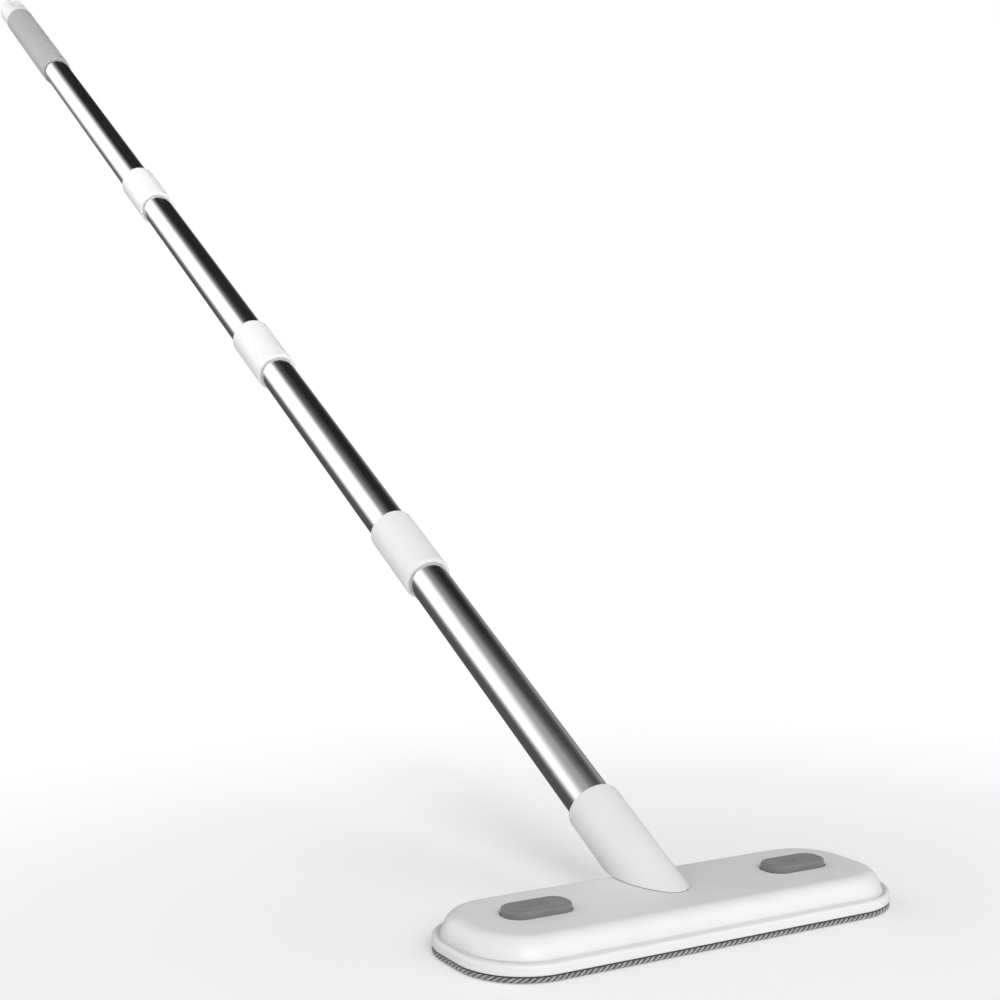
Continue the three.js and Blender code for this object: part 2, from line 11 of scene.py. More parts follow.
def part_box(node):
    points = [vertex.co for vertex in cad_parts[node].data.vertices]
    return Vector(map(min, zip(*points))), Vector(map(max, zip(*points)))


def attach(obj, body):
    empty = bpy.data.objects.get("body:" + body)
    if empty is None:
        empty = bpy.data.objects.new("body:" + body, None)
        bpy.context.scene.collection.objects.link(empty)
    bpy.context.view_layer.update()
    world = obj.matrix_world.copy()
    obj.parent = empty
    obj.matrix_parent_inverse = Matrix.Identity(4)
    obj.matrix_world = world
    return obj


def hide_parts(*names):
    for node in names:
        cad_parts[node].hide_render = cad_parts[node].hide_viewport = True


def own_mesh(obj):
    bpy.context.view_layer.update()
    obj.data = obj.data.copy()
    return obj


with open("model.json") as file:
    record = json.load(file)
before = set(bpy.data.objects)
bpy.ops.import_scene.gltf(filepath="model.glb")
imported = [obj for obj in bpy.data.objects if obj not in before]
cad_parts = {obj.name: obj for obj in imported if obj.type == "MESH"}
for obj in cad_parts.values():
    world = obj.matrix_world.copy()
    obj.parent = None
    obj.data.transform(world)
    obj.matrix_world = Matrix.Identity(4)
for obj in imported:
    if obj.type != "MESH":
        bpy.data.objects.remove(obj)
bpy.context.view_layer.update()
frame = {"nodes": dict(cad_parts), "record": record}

MM = 0.001
SEGMENTS = 96  # round each turned piece
CORNER_STEPS = 24  # in each rounded corner of an outline
ROUND_STEPS = 6  # over each softened edge
GAP = 0.3 * MM

HEAD_CORNER = 33 * MM
DOME_INSET = 12.6 * MM
DOME_SPREAD = 9.3 * MM
DOME_RISE = 14.3 * MM
COVER_WALL = 2.2 * MM
DOME_STEPS = 16
LIP_ROUND = 1.9 * MM
PLATE_RIM = 6.5 * MM
PLATE_FLOOR = (5 * MM, 6.6 * MM)
SPIGOT_RADIUS = 8 * MM

BUTTON_MARGIN = 0.4 * MM
BUTTON_FLANGE = 1.8 * MM
BUTTON_CORNER = 7.5 * MM
BUTTON_EDGE = 1.7 * MM
DISH_DEPTH = 0.5 * MM
SPRING_POCKET = (5.6 * MM, 19.2 * MM)  # radius and top
SPRING_TURNS = 5
SPRING_WIRE = 0.4 * MM
SPRING_STEPS = 24  # round each turn
FLANGE = (14.2 * MM, 15.5 * MM)  # bottom and top of a press pad's flange
DISH_RINGS = 14
RIB_PITCH = 3 * MM
RIB_HALF = (0.55 * MM, 2.1 * MM, 0.5 * MM)  # half width, half length, corner
RIB_LEAN = math.radians(-24)
BLADE = (10.5 * MM, 15.2 * MM)  # bottom and top
BLADE_SLOPE = 98.2 * MM  # a blade's inner face, where place along the head + height is this
BLADE_THICK = 3 * MM
BLADE_HALF = 2.5 * MM
POST_OUTER = 107 * MM
POST_INNER = 104 * MM
POST_NOSE = 101.7 * MM
POST_HALF = 4 * MM
POST_LEVELS = (5.6 * MM, 12.1 * MM)  # foot and underside of the nose

SOCKET_ROUND = 2.2 * MM
SOCKET_BORE = 30 * MM
COLLAR_SLEEVE = 17 * MM
THREAD_BORE = 9.7 * MM
MOUTH_TIGHTER = 0.22 * MM  # how much closer a sleeve's mouth sits on its tube
GRIP_ROUND = 0.9 * MM
SPIGOT = (14.1 * MM, 18.8 * MM)  # bottom and top
CAP_PLUG_RADIUS = 10.9 * MM
CAP_PLUG_DEPTH = 24 * MM
HANG_HOLE = (1319 * MM, 1344 * MM, 6.5 * MM)  # start and end along the pole, half width

FLOOR_LEVEL = -0.2 * MM
FLOOR_RADII = (0.5, 2.0, 40.0)


# Meshes ---------------------------------------------------------------------------
class Skin:
    """The points and faces of one piece, gathered ring by ring."""

    def __init__(self):
        self.points = []
        self.faces = []
        self.paints = []
        self.paint = 0

    def ring(self, points):
        start = len(self.points)
        self.points.extend(Vector(point) for point in points)
        return list(range(start, len(self.points)))

    def face(self, *corners):
        self.faces.append(corners)
        self.paints.append(self.paint)

    def join(self, low, high):
        """Faces between two closed rings; a ring of one point makes a fan."""
        count = max(len(low), len(high))
        for here in range(count):
            there = (here + 1) % count
            if len(low) == 1:
                self.face(low[0], high[there], high[here])
            elif len(high) == 1:
                self.face(low[here], low[there], high[0])
            else:
                self.face(low[here], low[there], high[there], high[here])

    def loft(self, rings, closed=False):
        made = [self.ring(points) for points in rings]
        for low, high in zip(made, made[1:]):
            self.join(low, high)
        if closed:
            self.join(made[-1], made[0])
        return made

    def fill(self, *rings):
        """One flat face inside the first ring and outside the others."""
        flat = [index for ring in rings for index in ring]
        loops = [[self.points[index] for index in ring] for ring in rings]
        for triangle in tessellate_polygon(loops):
            self.face(*(flat[corner] for corner in triangle))

    def capped(self, rings):
        """A closed lofted body with flat ends."""
        made = self.loft(rings)
        self.fill(made[0])
        self.fill(made[-1])

    def turned(self, profile, closed=False):
        """Turns an outline of (radius, along) points round the Z axis."""
        angles = [2 * math.pi * step / SEGMENTS for step in range(SEGMENTS)]
        rings = []
        for radius, along in profile:
            if radius == 0:
                rings.append([(0, 0, along)])
            else:
                rings.append([(radius * math.cos(a), radius * math.sin(a), along) for a in angles])
        return self.loft(rings, closed)

    def strand(self, path, sides, closed):
        """A wire along a path of (centre, normal, binormal, radius)."""
        rings = []
        for centre, normal, binormal, radius in path:
            turns = [2 * math.pi * side / sides for side in range(sides)]
            rings.append(
                [centre + radius * (normal * math.cos(a) + binormal * math.sin(a)) for a in turns]
            )
        made = self.loft(rings, closed)
        if not closed:
            self.fill(made[0])
            self.fill(made[-1])


def make_piece(name, skin, finishes, place=Matrix(), sharp=40):
    """A smooth-shaded mesh object from a skin, facing out, with sharp edges kept."""
    mesh = bpy.data.meshes.new(name)
    mesh.from_pydata(skin.points, [], skin.faces)
    mesh.polygons.foreach_set("material_index", skin.paints)
    shell = bmesh.new()
    shell.from_mesh(mesh)
    bmesh.ops.recalc_face_normals(shell, faces=shell.faces)
    shell.to_mesh(mesh)
    shell.free()
    mesh.shade_smooth()
    mesh.set_sharp_from_angle(angle=math.radians(sharp))
    for finish in finishes:
        mesh.materials.append(finish)
    piece = bpy.data.objects.new(name, mesh)
    bpy.context.scene.collection.objects.link(piece)
    piece.matrix_world = place
    return piece


def stand_in(piece, node, body):
    """The piece shows in place of a CAD node and moves with its body."""
    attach(piece, body)
    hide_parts(node)
    return piece


def outline(half_x, half_y, corner, steps=CORNER_STEPS):
    """Points round a rectangle with rounded corners, anticlockwise from +X."""
    points = []
    for quarter, (side_x, side_y) in enumerate(((1, 1), (-1, 1), (-1, -1), (1, -1))):
        for step in range(steps + 1):
            angle = (quarter + step / steps) * math.pi / 2
            x = side_x * (half_x - corner) + corner * math.cos(angle)
            y = side_y * (half_y - corner) + corner * math.sin(angle)
            points.append((x, y))
    return points


def softened(corners, closed):
    """An outline through (x, y, rounding) corners, with each corner rounded off."""
    points = []
    for index, (x, y, size) in enumerate(corners):
        corner = Vector((x, y))
        if size == 0:
            points.append(corner)
            continue
        before = (Vector(corners[index - 1][:2]) - corner).normalized() * size
        after = (Vector(corners[(index + 1) % len(corners)][:2]) - corner).normalized() * size
        points.append(corner + before * 1.08)
        for step in range(ROUND_STEPS + 1):
            t = step / ROUND_STEPS
            points.append(corner + before * (1 - t) ** 2 + after * t ** 2)
        points.append(corner + after * 1.08)
    return points


def raised(points, z):
    return [(x, y, z) for x, y in points]


def moved(points, along):
    return [(x + along, y) for x, y in points]


def evenly(points, count):
    """The closed outline again, as count points at equal steps."""
    loop = [Vector(point) for point in points]
    lengths = [(loop[(i + 1) % len(loop)] - loop[i]).length for i in range(len(loop))]
    step = sum(lengths) / count
    spaced = []
    index, walked = 0, 0.0
    for number in range(count):
        target = number * step
        while walked + lengths[index] < target:
            walked += lengths[index]
            index += 1
        share = (target - walked) / max(lengths[index], 1e-9)
        spaced.append(loop[index].lerp(loop[(index + 1) % len(loop)], share))
    return spaced


# Materials ------------------------------------------------------------------------
class Field:
    """A node's output that adds, subtracts and multiplies like a number."""

    def __init__(self, nodes, socket):
        self.nodes = nodes
        self.socket = socket

    def sum_of(self, operation, *values):
        return self.nodes.node("ShaderNodeMath", {"operation": operation}, dict(enumerate(values)))

    def __add__(self, other):
        return self.sum_of("ADD", self, other)

    __radd__ = __add__

    def __sub__(self, other):
        return self.sum_of("SUBTRACT", self, other)

    def __rsub__(self, other):
        return self.sum_of("SUBTRACT", other, self)

    def __mul__(self, other):
        return self.sum_of("MULTIPLY", self, other)

    __rmul__ = __mul__


class Nodes:
    """A node tree, built by calls that return fields."""

    def __init__(self, tree):
        self.tree = tree

    def feed(self, value, socket):
        if isinstance(value, Field):
            self.tree.links.new(value.socket, socket)
        else:
            socket.default_value = value

    def node(self, kind, settings=None, inputs=None, output=0):
        """A node of a kind, with its settings made first and then its sockets."""
        made = self.tree.nodes.new(kind)
        for name, value in (settings or {}).items():
            if name == "stops":
                self.set_stops(made.color_ramp, value)
            else:
                setattr(made, name, value)
        for key, value in (inputs or {}).items():
            self.feed(value, made.inputs[key])
        return Field(self, made.outputs[output])

    @staticmethod
    def set_stops(ramp, stops):
        while len(ramp.elements) < len(stops):
            ramp.elements.new(1)
        for element, (place, colour) in zip(ramp.elements, stops):
            element.position = place
            element.color = (*colour, 1)

    def stretched(self, scale):
        """The piece's own coordinates, scaled differently along each axis."""
        own = self.node("ShaderNodeTexCoord", output="Object")
        return self.node("ShaderNodeMapping", inputs={"Vector": own, "Scale": scale})

    def noise(self, scale, detail=3.0, where=None):
        where = where or self.node("ShaderNodeTexCoord", output="Object")
        return self.node(
            "ShaderNodeTexNoise", inputs={"Vector": where, "Scale": scale, "Detail": detail}
        )

    def ranged(self, value, low, high, to_low=0.0, to_high=1.0):
        """Smoothly from to_low to to_high as value goes from low to high."""
        return self.node(
            "ShaderNodeMapRange",
            {"interpolation_type": "SMOOTHSTEP"},
            {0: value, 1: low, 2: high, 3: to_low, 4: to_high},
        )

    def colours(self, value, *stops):
        return self.node("ShaderNodeValToRGB", {"stops": stops}, {"Fac": value})

    def bump(self, height, distance):
        return self.node(
            "ShaderNodeBump", inputs={"Height": height, "Distance": distance, "Strength": 1.0}
        )


class Finish(Nodes):
    """A procedural material: constants on its shader, and fields that vary over it."""

    def __init__(self, name, constants):
        self.material = bpy.data.materials.new(name)
        self.material.use_nodes = True
        super().__init__(self.material.node_tree)
        self.shader = self.tree.nodes["Principled BSDF"]
        for socket, value in constants.items():
            self.shader.inputs[socket].default_value = value

    def vary(self, **fields):
        for name, field in fields.items():
            self.feed(field, self.shader.inputs[name.replace("_", " ").title()])
        return self.material


def grey(value):
    return (value, value, value)


def moulded_plastic(name, shade, roughness, grain):
    """Moulded plastic: a faint cloudiness and a fine pebbled skin."""
    finish = Finish(name, {"Specular IOR Level": 0.45})
    cloud = finish.noise(28.0)
    pebble = finish.noise(1400.0, 2.0)
    return finish.vary(
        base_color=finish.colours(cloud, (0.3, grey(shade * 0.97)), (0.7, grey(shade))),
        roughness=finish.ranged(finish.noise(160.0), 0.3, 0.7, roughness - 0.05, roughness + 0.05),
        normal=finish.bump(pebble + cloud * 0.5, grain),
    )


def rubber_pad():
    """Grey rubber with a fine stipple and a little dust in it."""
    finish = Finish("rubber_pad", {"Specular IOR Level": 0.35, "Sheen Weight": 0.15})
    speck = finish.noise(2600.0, 2.0)
    cloud = finish.noise(90.0)
    return finish.vary(
        base_color=finish.colours(
            speck * 0.5 + cloud * 0.5, (0.35, grey(0.17)), (0.65, grey(0.215))
        ),
        roughness=finish.ranged(cloud, 0.3, 0.7, 0.52, 0.66),
        normal=finish.bump(speck, 0.05 * MM),
    )


def grip_rubber():
    """The soft grey grip: matt, with a fine leathery grain."""
    finish = Finish("grip_rubber", {"Specular IOR Level": 0.35, "Sheen Weight": 0.1})
    grain = finish.node(
        "ShaderNodeTexVoronoi",
        inputs={"Vector": finish.stretched((1, 1, 0.6)), "Scale": 1100.0},
        output="Distance",
    )
    cloud = finish.noise(60.0)
    return finish.vary(
        base_color=finish.colours(cloud + grain * 0.2, (0.35, grey(0.37)), (0.75, grey(0.41))),
        roughness=finish.ranged(cloud, 0.3, 0.7, 0.5, 0.62),
        normal=finish.bump(grain, 0.06 * MM),
    )


def polished_tube():
    """Stainless tube, polished round and round, with a few long drawing marks."""
    finish = Finish("polished_tube", {"Metallic": 1.0, "Specular IOR Level": 0.5})
    rings = finish.noise(1.0, 4.0, finish.stretched((60, 60, 5200)))
    draws = finish.noise(1.0, 3.0, finish.stretched((420, 420, 6)))
    return finish.vary(
        base_color=finish.colours(draws, (0.3, grey(0.66)), (0.7, grey(0.76))),
        roughness=finish.ranged(rings * 0.6 + draws * 0.4, 0.35, 0.65, 0.13, 0.25),
        normal=finish.bump(rings, 0.012 * MM),
    )


def plated_steel():
    """Zinc-plated screws and springs: bright, slightly mottled."""
    finish = Finish("plated_steel", {"Metallic": 1.0})
    mottle = finish.noise(900.0)
    return finish.vary(
        base_color=finish.colours(mottle, (0.3, (0.50, 0.52, 0.55)), (0.7, (0.62, 0.63, 0.64))),
        roughness=finish.ranged(mottle, 0.3, 0.7, 0.28, 0.42),
        normal=finish.bump(mottle, 0.02 * MM),
    )


def woven_cloth(name, dark, pale, pitch):
    """Plain weave: two crossed waves of threads, fuzz over them."""
    finish = Finish(name, {"Roughness": 0.9, "Sheen Weight": 0.3, "Specular IOR Level": 0.2})
    waves = [
        finish.node(
            "ShaderNodeTexWave",
            {"bands_direction": direction},
            {"Vector": finish.stretched((1, 1, 1)), "Scale": 0.314 / pitch, "Distortion": 0.4},
            output=1,
        )
        for direction in ("X", "Y")
    ]
    fuzz = finish.noise(1800.0)
    weave = waves[0] * waves[1] + fuzz * 0.4
    return finish.vary(
        base_color=finish.colours(weave, (0.15, dark), (0.8, pale)),
        roughness=finish.ranged(fuzz, 0.2, 0.8, 0.85, 1.0),
        normal=finish.bump(weave, 0.2 * MM),
    )


def yarn(name, dark, pale):
    """Spun yarn: short fibres that catch the light in flecks."""
    finish = Finish(name, {"Sheen Weight": 0.4, "Specular IOR Level": 0.2})
    fibre = finish.noise(2400.0, 4.0)
    patch = finish.noise(420.0)
    return finish.vary(
        base_color=finish.colours(fibre * 0.6 + patch * 0.4, (0.32, dark), (0.66, pale)),
        roughness=finish.ranged(fibre, 0.2, 0.8, 0.8, 1.0),
        normal=finish.bump(fibre, 0.12 * MM),
    )


# Where things are --------------------------------------------------------------------
cover_low, cover_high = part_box("top_cover")
plate_low, plate_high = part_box("pad_plate")
pile_low, pile_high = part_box("pad_pile")
binding_low, binding_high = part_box("pad_binding")
HALF_LENGTH = plate_high.x
HALF_WIDTH = plate_high.y

hand_grip = next(m for m in frame["record"]["mounts"] if m["name"] == "hand_grip")
ALONG = Vector(hand_grip["axis"]).normalized()
FOOT = Vector(hand_grip["pos_m"])
FOOT -= ALONG * ((FOOT.z - cover_high.z) / ALONG.z)
POLE = Matrix.Translation(FOOT) @ Matrix.Rotation(-math.acos(ALONG.z), 4, "X")


def head_outline(inset):
    return outline(HALF_LENGTH - inset, HALF_WIDTH - inset, HEAD_CORNER - inset)


def reach(size):
    """How much a rounded rim of that size takes off a leaning piece's box."""
    return size * (ALONG.y + ALONG.z - 1)


def span(node, low_round=0.0, high_round=0.0):
    """A round pole piece's radius, and its start and end along the pole."""
    low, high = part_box(node)
    radius = (high.x - low.x) / 2
    start = (low.y - FOOT.y + radius * ALONG.z - reach(low_round)) / ALONG.y
    end = (high.y - FOOT.y - radius * ALONG.z + reach(high_round)) / ALONG.y
    return radius, start, end


# Head --------------------------------------------------------------------------------
def dome_rings(top, spread, rise, low):
    """Rings down the side of a dome, from the flat of its top to its lower edge."""
    rings = [raised(head_outline(DOME_INSET + 0.6 * MM), top)]
    last = math.acos((low - top + rise) / rise)
    for step in range(DOME_STEPS + 1):
        angle = last * step / DOME_STEPS
        inset = DOME_INSET - spread * math.sin(angle)
        rings.append(raised(head_outline(inset), top - rise * (1 - math.cos(angle))))
    return rings


def opening_rings(shape, top, ceiling, lip):
    """Rings down through an opening in the cover, over its rounded lip."""
    rings = [raised(shape(lip * 1.3), top)]
    for step in range(ROUND_STEPS + 1):
        angle = math.pi / 2 * step / ROUND_STEPS
        rings.append(
            raised(shape(lip * (1 - math.sin(angle))), top - lip * (1 - math.cos(angle)))
        )
    rings.append(raised(shape(0), ceiling))
    return rings


def button_outline(grow=0.0):
    """A press pad's outline about its own centre, made larger by grow."""
    low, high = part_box("button_left")
    half_x = (high.x - low.x) / 2 - BUTTON_FLANGE + grow
    half_y = (high.y - low.y) / 2 - BUTTON_FLANGE + grow
    return outline(half_x, half_y, BUTTON_CORNER + grow, 12)


def button_middle(side):
    """The middle of the press pad on a side, along the head."""
    low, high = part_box(f"button_{side}")
    return (low.x + high.x) / 2


def cover_openings():
    """The shape of each opening in the cover, as a function of how much it grows."""
    shapes = [
        lambda grow, x=button_middle(side): moved(button_outline(BUTTON_MARGIN + grow), x)
        for side in ("left", "right")
    ]
    radius = SPIGOT_RADIUS + GAP
    shapes.append(lambda grow: outline(radius + grow, radius + grow, radius + grow, 12))
    return shapes


def make_cover(finish):
    skin = Skin()
    top, low = cover_high.z, cover_low.z
    ceiling = top - COVER_WALL
    outside = dome_rings(top, DOME_SPREAD, DOME_RISE, low)
    inside = dome_rings(ceiling, DOME_SPREAD - COVER_WALL, DOME_RISE - COVER_WALL, low)
    shell = skin.loft(outside + inside[::-1])
    openings = [
        skin.loft(opening_rings(shape, top, ceiling, 0.5 * MM)) for shape in cover_openings()
    ]
    skin.fill(shell[0], *(rings[0] for rings in openings))
    skin.fill(shell[-1], *(rings[-1] for rings in openings))
    piece = make_piece("head_cover", skin, [finish])
    stand_in(piece, "top_cover", "head")


def block(skin, xs, ys, zs):
    """A plain block between two values along each axis."""
    corners = [(xs[0], ys[0]), (xs[1], ys[0]), (xs[1], ys[1]), (xs[0], ys[1])]
    skin.capped([raised(corners, zs[0]), raised(corners, zs[1])])


def latch_post(skin, side):
    """The hooked post of the lip plate that the latch's nose catches."""
    outer = side * POST_OUTER
    width = (-POST_HALF, POST_HALF)
    block(skin, sorted((side * POST_INNER, outer)), width, POST_LEVELS)
    block(skin, sorted((side * POST_NOSE, outer)), width, (POST_LEVELS[1], plate_high.z))


def make_lip_plate(finish):
    """The lower lip: a rounded rim about a thin floor, with two hooked posts."""
    skin = Skin()
    low = plate_low.z
    top = cover_low.z - GAP
    floor_low, floor_high = PLATE_FLOOR
    profile = [
        (PLATE_RIM, floor_high, 0),
        (PLATE_RIM, top, 0.2 * MM),
        (4.4 * MM, top, 0),
        (3.9 * MM, top - 0.6 * MM, 0.4 * MM),
        (3.0 * MM, top - 0.6 * MM, 0.5 * MM),
        (2.3 * MM, top, 0.3 * MM),
        (0, top, LIP_ROUND),
        (0, low, 1.2 * MM),
        (PLATE_RIM, low, 0.2 * MM),
        (PLATE_RIM, floor_low, 0),
    ]
    rings = skin.loft([raised(head_outline(x), z) for x, z in softened(profile, False)])
    skin.fill(rings[0])
    skin.fill(rings[-1])
    latch_post(skin, -1)
    latch_post(skin, 1)
    piece = make_piece("lip_plate", skin, [finish])
    stand_in(piece, "pad_plate", "head")


# Press pads ---------------------------------------------------------------------------
def dished_top(skin, ring, top, middle):
    """The hollowed top face of a press pad, ring by ring to its middle."""
    rim = [skin.points[index].copy() for index in ring]
    last = ring
    for step in range(1, DISH_RINGS + 1):
        share = 1 - step / (DISH_RINGS + 0.5)
        points = []
        for point in rim:
            x, y = (point.x - middle) * share, point.y * share
            dip = DISH_DEPTH * (1 - share ** 2) ** 0.8
            points.append((middle + x, y, top - dip))
        new = skin.ring(points)
        skin.join(last, new)
        last = new
    skin.fill(last)


def finger_ribs(skin, middle, top):
    """Five low slanted ribs across the middle of a press pad."""
    lean = Matrix.Rotation(RIB_LEAN, 2)
    half_width, half_length, corner = RIB_HALF
    floor = top - DISH_DEPTH
    for number in range(-2, 3):
        rings = []
        for shrink, height in ((0, -0.3), (0, 0.12), (0.12, 0.24), (0.3, 0.28)):
            less = shrink * MM
            shape = outline(half_width - less, half_length - less, corner - less, 5)
            points = [lean @ Vector(point) for point in shape]
            centre = middle + number * RIB_PITCH
            rings.append([(centre + p.x, p.y, floor + height * MM) for p in points])
        skin.capped(rings)


def press_blade(skin, side):
    """The sloping blade under a press pad that draws its latch in."""
    rings = []
    for z in BLADE:
        inner = BLADE_SLOPE - z
        low, high = sorted((side * inner, side * (inner + BLADE_THICK)))
        corners = [(low, -BLADE_HALF), (high, -BLADE_HALF), (high, BLADE_HALF), (low, BLADE_HALF)]
        rings.append(raised(corners, z))
    skin.capped(rings)


def make_press_pad(side, sign, finish):
    node = f"button_{side}"
    middle = button_middle(side)
    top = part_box(node)[1].z
    flange_low, flange_high = FLANGE
    pocket_radius, pocket_top = SPRING_POCKET
    skin = Skin()
    wall = [
        (-BUTTON_FLANGE, flange_low, 0),
        (-BUTTON_FLANGE, flange_high, 0.25 * MM),
        (0, flange_high, 0.2 * MM),
        (0, top, BUTTON_EDGE),
        (3 * MM, top, 0),
    ]
    profile = softened(wall, False)[:-1]
    rings = skin.loft([raised(moved(button_outline(-x), middle), z) for x, z in profile])
    dished_top(skin, rings[-1], top, middle)
    circle = moved(outline(pocket_radius, pocket_radius, pocket_radius, 12), middle)
    pocket = skin.loft([raised(circle, flange_low), raised(circle, pocket_top)])
    skin.fill(rings[0], pocket[0])
    skin.fill(pocket[1])
    press_blade(skin, sign)
    finger_ribs(skin, middle, top)
    piece = make_piece(f"press_pad_{side}", skin, [finish])
    stand_in(piece, node, f"{side}_button")


def make_spring(side, finish):
    """A coil spring under a press pad, fixed to the head."""
    low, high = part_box(f"button_spring_{side}")
    middle = Vector(((low.x + high.x) / 2, 0, 0))
    radius = (high.x - low.x) / 2 - SPRING_WIRE
    path = []
    steps = SPRING_TURNS * SPRING_STEPS
    for step in range(steps + 1):
        angle = 2 * math.pi * step / SPRING_STEPS
        out = Vector((math.cos(angle), math.sin(angle), 0))
        z = low.z + SPRING_WIRE + (high.z - low.z - 2 * SPRING_WIRE) * step / steps
        centre = middle + out * radius + Vector((0, 0, z))
        path.append((centre, out, Vector((0, 0, 1)), SPRING_WIRE))
    skin = Skin()
    skin.strand(path, 8, False)
    piece = make_piece(f"coil_spring_{side}", skin, [finish])
    stand_in(piece, f"button_spring_{side}", "head")
    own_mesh(piece)


# Pad -----------------------------------------------------------------------------------
def pad_depth(x, y):
    """How far the pile's tufts stand down at a point, from 0 to 1."""
    distances, _ = noise.voronoi(Vector((x * 260, y * 620, 0)))
    return max(0.0, 1 - distances[0] * 1.15)


def make_pile(finish):
    """The wiping pile: rows of soft tufts under the pad."""
    skin = Skin()
    top = pile_high.z
    half_x, half_y = pile_high.x, pile_high.y
    corner = HEAD_CORNER - (HALF_WIDTH - half_y)
    rim = evenly(outline(half_x, half_y, corner), 420)
    spine = [Vector((max(half_y - half_x, min(half_x - half_y, p.x)), 0)) for p in rim]
    upper = skin.loft([raised(rim, 1.1 * MM), raised(rim, top - 0.3 * MM)])
    skin.fill(upper[-1])
    last = upper[0]
    for step in range(1, 33):
        share = 1 - step / 33
        points = []
        for edge, middle in zip(rim, spine):
            place = middle.lerp(edge, share)
            z = 1.1 * MM * (1 - pad_depth(place.x, place.y) * min(1, step / 2))
            points.append((place.x, place.y, z))
        new = skin.ring(points)
        skin.join(new, last)
        last = new
    skin.fill(last)
    piece = make_piece("wiping_pile", skin, [finish], sharp=180)
    stand_in(piece, "pad_pile", "head")


def rope_strand(skin, rim, up, phase, turns, lay, thickness):
    """One strand of a rope laid round the pad's edge."""
    path = []
    count = len(rim)
    for index in range(count):
        along = (rim[(index + 1) % count] - rim[index - 1]).normalized()
        out = Vector((along.y, -along.x, 0))
        angle = 2 * math.pi * (turns * index / count) + phase
        lean = out * math.cos(angle) + up * math.sin(angle)
        path.append((rim[index] + lean * lay, lean, lean.cross(along.to_3d()), thickness))
    skin.strand(path, 7, True)


def make_binding(yarns):
    """The pad's edge: a flat tape with a two-ply cord sewn round its rim."""
    skin = Skin()
    top = binding_high.z
    profile = [
        (5.9 * MM, 0.25 * MM, 0.2 * MM),
        (5.9 * MM, top - 0.3 * MM, 0.2 * MM),
        (1.1 * MM, top - 0.3 * MM, 0.4 * MM),
        (1.1 * MM, 0.25 * MM, 0.4 * MM),
    ]
    skin.loft([raised(head_outline(x), z) for x, z in softened(profile, True)], closed=True)
    middle = (binding_low.z + top) / 2
    half = (top - binding_low.z) / 2
    rim = [point.to_3d() + Vector((0, 0, middle)) for point in
           evenly(head_outline(half), 2400)]
    up = Vector((0, 0, 1))
    thickness = half * 0.43
    for number in range(4):
        skin.paint = 1 + number % 2
        phase = math.pi / 2 * number
        rope_strand(skin, rim, up, phase, 95, half - thickness, thickness)
    piece = make_piece("edge_binding", skin, yarns, sharp=180)
    stand_in(piece, "pad_binding", "head")


def make_backing(finish):
    """The pad's woven backing sheet, which the hook strips hold."""
    low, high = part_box("pad_backing")
    corner = HEAD_CORNER - (HALF_LENGTH - high.x)
    shape = outline(high.x, high.y, corner)
    skin = Skin()
    skin.capped([raised(shape, low.z), raised(shape, high.z)])
    piece = make_piece("backing_sheet", skin, [finish])
    stand_in(piece, "pad_backing", "head")


# Pole ----------------------------------------------------------------------------------
def make_foot(finish):
    """The swivelling foot: a round socket cut off flat on the head's top."""
    radius, _, top = span("foot_socket", 0, SOCKET_ROUND)
    bore = span("tube_1")[0] + GAP
    height = GAP
    angles = [2 * math.pi * step / SEGMENTS for step in range(SEGMENTS)]

    def oval(lift, inset):
        points = []
        for angle in angles:
            x, y = (radius - inset) * math.cos(angle), (radius - inset) * math.sin(angle)
            points.append((x, y, (height + lift + y * ALONG.y) / ALONG.z))
        return points

    skin = Skin()
    lower = [oval(0, 0.5 * MM), oval(0.05 * MM, 0.15 * MM), oval(0.3 * MM, 0), oval(0.5 * MM, 0)]
    shares = [step / 12 for step in range(1, 12)]
    start = oval(0.5 * MM, 0)
    high = top - SOCKET_ROUND * 1.2
    body = [[(x, y, z + (high - z) * share) for x, y, z in start] for share in shares]
    profile = softened(
        [(radius, high, 0), (radius, top, SOCKET_ROUND * 0.97), (bore, top, 0),
         (bore, SOCKET_BORE, 0)],
        False,
    )
    upper = [
        [(r * math.cos(a), r * math.sin(a), along) for a in angles] for r, along in profile
    ]
    skin.capped(lower + body + upper)
    piece = make_piece("swivel_foot", skin, [finish], POLE)
    spigot = Skin()
    low, high = SPIGOT
    spigot.turned([(0, low), (SPIGOT_RADIUS, low), (SPIGOT_RADIUS, high), (0, high)])
    pin = make_piece("swivel_spigot", spigot, [finish])
    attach(pin, "pole")
    stand_in(piece, "foot_socket", "pole")


def make_tube(number, finish):
    radius, start, end = span(f"tube_{number}")
    inner = radius - 0.8 * MM
    edge = 0.15 * MM
    corners = [
        (radius, start, edge),
        (radius, end, edge),
        (inner, end, edge),
        (inner, start, edge),
    ]
    skin = Skin()
    skin.turned(softened(corners, True), closed=True)
    piece = make_piece(f"steel_tube_{number}", skin, [finish], POLE)
    stand_in(piece, f"tube_{number}", "pole")


